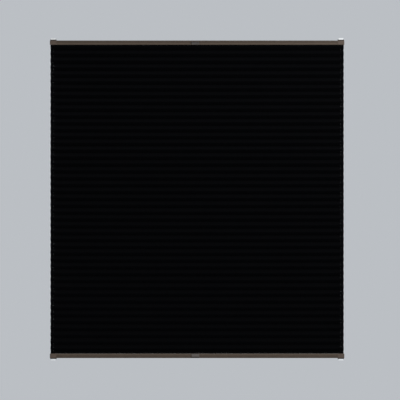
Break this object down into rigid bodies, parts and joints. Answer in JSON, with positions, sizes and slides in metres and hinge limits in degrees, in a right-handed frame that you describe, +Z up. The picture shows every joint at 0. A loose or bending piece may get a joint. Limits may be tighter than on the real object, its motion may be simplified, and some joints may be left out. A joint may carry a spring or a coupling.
{
  "type": "pleated window blind",
  "caption": "Black pleated window blind between two slim bronze rails that slide on taut cords, clamped over a window sash without drilling.",
  "frame": {"origin": "centre of the blind in width and height, on the plane of the window sash's room-side face", "axes": "+X to the right for someone in the room, +Y out of the room towards the window, +Z up"},
  "size_m": [1.2, 0.0534, 1.3134],
  "materials": {
    "rail_bronze": "satin bronze-brown coating on an extruded aluminium profile",
    "cap_plastic": "moulded brown plastic, matched to the rail",
    "shoe_plastic": "moulded dark brown plastic",
    "grip_plastic": "moulded grey-brown plastic, a little lighter than the rail",
    "strip_plastic": "extruded black plastic",
    "clamp_white": "white lacquered steel strip",
    "screw_steel": "bright zinc-plated steel",
    "spring_steel": "drawn spring steel",
    "pad_rubber": "soft grey rubber",
    "pleated_fabric": "black pleated blackout polyester with a fine weave",
    "cord_black": "braided black polyester cord"
  },
  "bodies": {
    "window_fixings": {"left_cord": "cord_black", "right_cord": "cord_black", "upper_left_clamp_bracket": "clamp_white", "upper_left_lock_screw": "screw_steel", "upper_left_sash_pad": "pad_rubber", "upper_left_tension_shoe": "shoe_plastic", "upper_left_cord_knot": "cord_black", "upper_right_clamp_bracket": "clamp_white", "upper_right_lock_screw": "screw_steel", "upper_right_sash_pad": "pad_rubber", "upper_right_tension_shoe": "shoe_plastic", "upper_right_cord_knot": "cord_black", "lower_left_clamp_bracket": "clamp_white", "lower_left_lock_screw": "screw_steel", "lower_left_sash_pad": "pad_rubber", "lower_left_tension_shoe": "shoe_plastic", "lower_left_cord_knot": "cord_black", "lower_right_clamp_bracket": "clamp_white", "lower_right_lock_screw": "screw_steel", "lower_right_sash_pad": "pad_rubber", "lower_right_tension_shoe": "shoe_plastic", "lower_right_cord_knot": "cord_black"},
    "top_rail": {"top_rail_profile": "rail_bronze", "top_fabric_strip": "strip_plastic", "top_rail_grip": "grip_plastic", "top_tension_spring": "spring_steel", "top_left_end_cap": "cap_plastic", "top_right_end_cap": "cap_plastic", "top_left_crossing_cord": "cord_black", "top_right_crossing_cord": "cord_black", "upper_pleats": "pleated_fabric"},
    "bottom_rail": {"bottom_rail_profile": "rail_bronze", "bottom_fabric_strip": "strip_plastic", "bottom_rail_grip": "grip_plastic", "bottom_tension_spring": "spring_steel", "bottom_left_end_cap": "cap_plastic", "bottom_right_end_cap": "cap_plastic", "bottom_left_crossing_cord": "cord_black", "bottom_right_crossing_cord": "cord_black", "lower_pleats": "pleated_fabric"},
    "upper_left_jaw": {"upper_left_clamp_jaw": "clamp_white", "upper_left_jaw_pad": "pad_rubber"},
    "upper_right_jaw": {"upper_right_clamp_jaw": "clamp_white", "upper_right_jaw_pad": "pad_rubber"},
    "lower_left_jaw": {"lower_left_clamp_jaw": "clamp_white", "lower_left_jaw_pad": "pad_rubber"},
    "lower_right_jaw": {"lower_right_clamp_jaw": "clamp_white", "lower_right_jaw_pad": "pad_rubber"}
  },
  "joints": [
    {"name": "top_rail_slide", "type": "slide", "parent": "window_fixings", "child": "top_rail", "axis": [0, 0, -1], "range_m": [0, 0.396], "deforming": ["upper_pleats"]},
    {"name": "bottom_rail_slide", "type": "slide", "parent": "window_fixings", "child": "bottom_rail", "axis": [0, 0, 1], "range_m": [0, 0.792], "deforming": ["lower_pleats"]},
    {"name": "upper_left_jaw_slide", "type": "slide", "parent": "window_fixings", "child": "upper_left_jaw", "axis": [0, 1, 0], "range_m": [-0.006, 0.006]},
    {"name": "upper_right_jaw_slide", "type": "slide", "parent": "window_fixings", "child": "upper_right_jaw", "axis": [0, 1, 0], "range_m": [-0.006, 0.006]},
    {"name": "lower_left_jaw_slide", "type": "slide", "parent": "window_fixings", "child": "lower_left_jaw", "axis": [0, 1, 0], "range_m": [-0.006, 0.006]},
    {"name": "lower_right_jaw_slide", "type": "slide", "parent": "window_fixings", "child": "lower_right_jaw", "axis": [0, 1, 0], "range_m": [-0.006, 0.006]}
  ]
}
